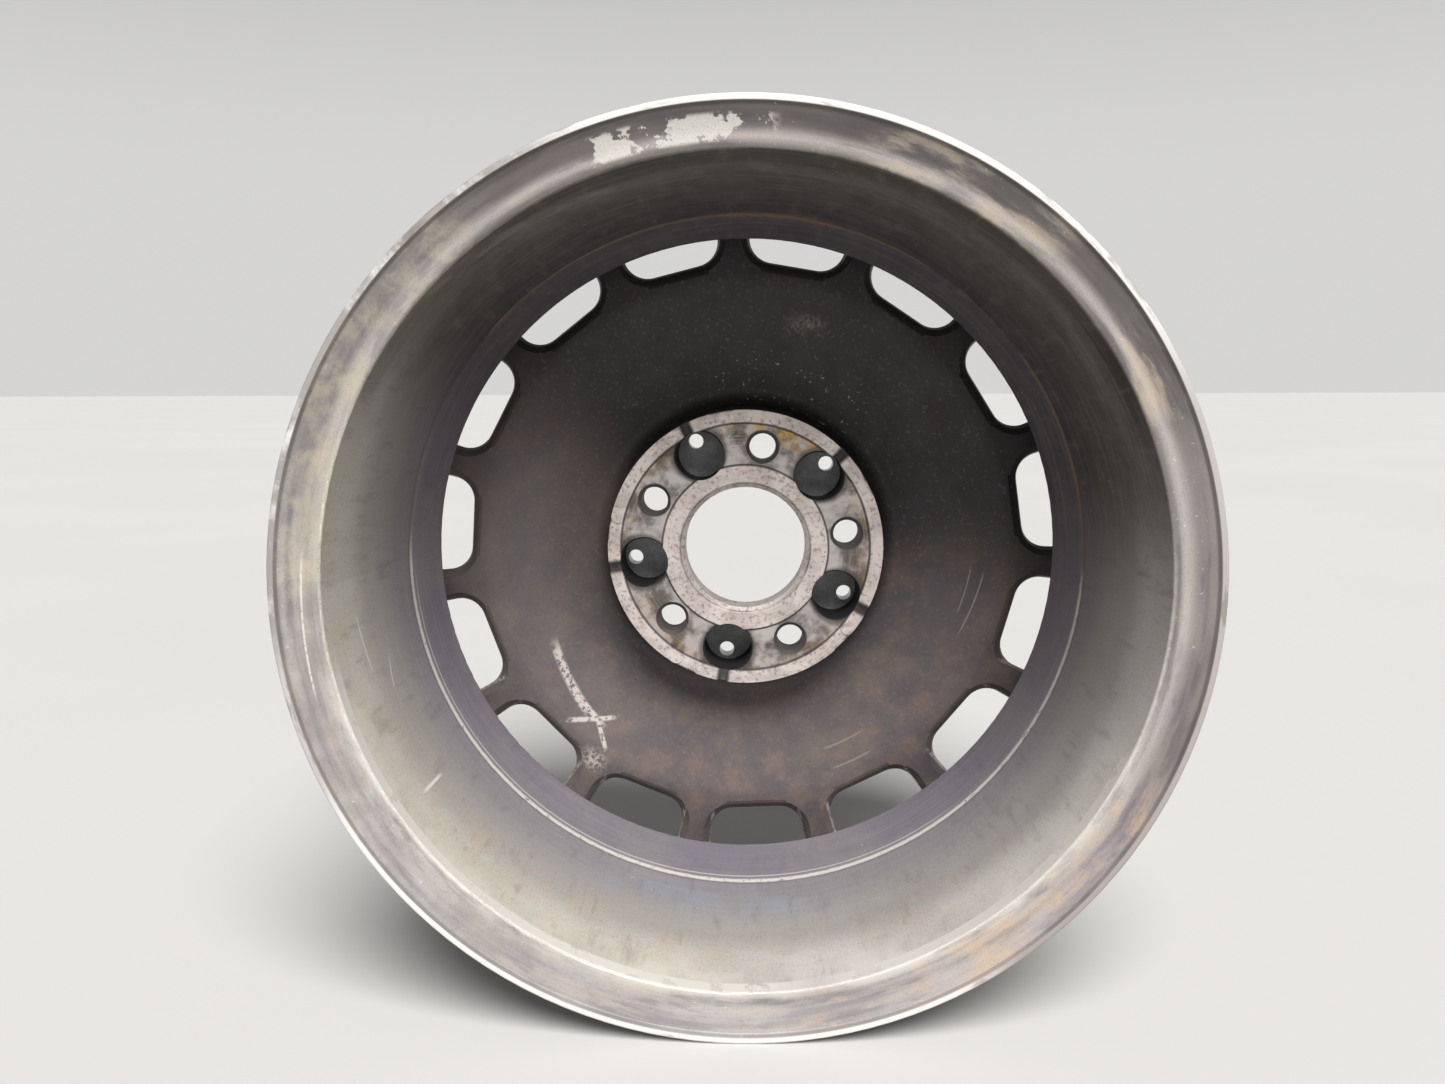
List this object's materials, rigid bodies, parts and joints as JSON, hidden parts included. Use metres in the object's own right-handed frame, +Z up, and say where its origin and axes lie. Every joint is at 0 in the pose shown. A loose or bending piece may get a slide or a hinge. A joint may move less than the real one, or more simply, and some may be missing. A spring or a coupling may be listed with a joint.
{
  "type": "forged wheel",
  "caption": "One-piece forged light-alloy road wheel with a windowed disc, recessed hub pad and a screw-in metal tyre valve.",
  "frame": {"origin": "wheel centre: on the wheel axis, midway between the two rim lips", "axes": "+Y along the wheel axis towards the vehicle (the side in view in the picture), -Y the outboard face, +Z up"},
  "size_m": [0.4149, 0.19, 0.415],
  "materials": {
    "forged_alloy": "worn dark coating over forged alloy, bare and corroded at the lands and lip",
    "plated_brass": "dull nickel plate",
    "core_brass": "bare turned",
    "valve_rubber": "matt",
    "core_seal": "smooth",
    "spring_steel": "drawn wire",
    "cap_alloy": "dull knurled"
  },
  "bodies": {
    "wheel": {"wheel_forging": "forged_alloy", "valve_stem": "plated_brass", "valve_gasket": "valve_rubber", "valve_washer": "plated_brass", "valve_nut": "plated_brass", "core_plug": "core_brass", "core_gasket": "core_seal", "core_spring": "spring_steel"},
    "core_poppet": {"core_pin": "core_brass", "core_cup": "core_brass", "core_cup_seal": "valve_rubber"},
    "cap_disc": {"cap_seal": "valve_rubber"},
    "cap": {"valve_cap": "cap_alloy"}
  },
  "joints": [
    {"name": "pin_press", "type": "slide", "parent": "wheel", "child": "core_poppet", "axis": [-0.0207, 0.9925, 0.1201], "range_m": [0, 0.0016], "stiffness_N_per_m": 900, "springref_m": -0.0012, "deforming": ["core_spring"]},
    {"name": "cap_lift", "type": "slide", "parent": "wheel", "child": "cap_disc", "axis": [0.0207, -0.9925, -0.1201], "range_m": [0, 0.00873]},
    {"name": "cap_turn", "type": "hinge", "parent": "cap_disc", "child": "cap", "pos_m": [-0.03023, -0.03441, 0.17501], "axis": [0.0207, -0.9925, -0.1201], "range_deg": [0, 3960]}
  ],
  "couplings": [
    {"joint": "cap_turn", "follows": "cap_lift", "rad_per_m": 7915.8}
  ]
}
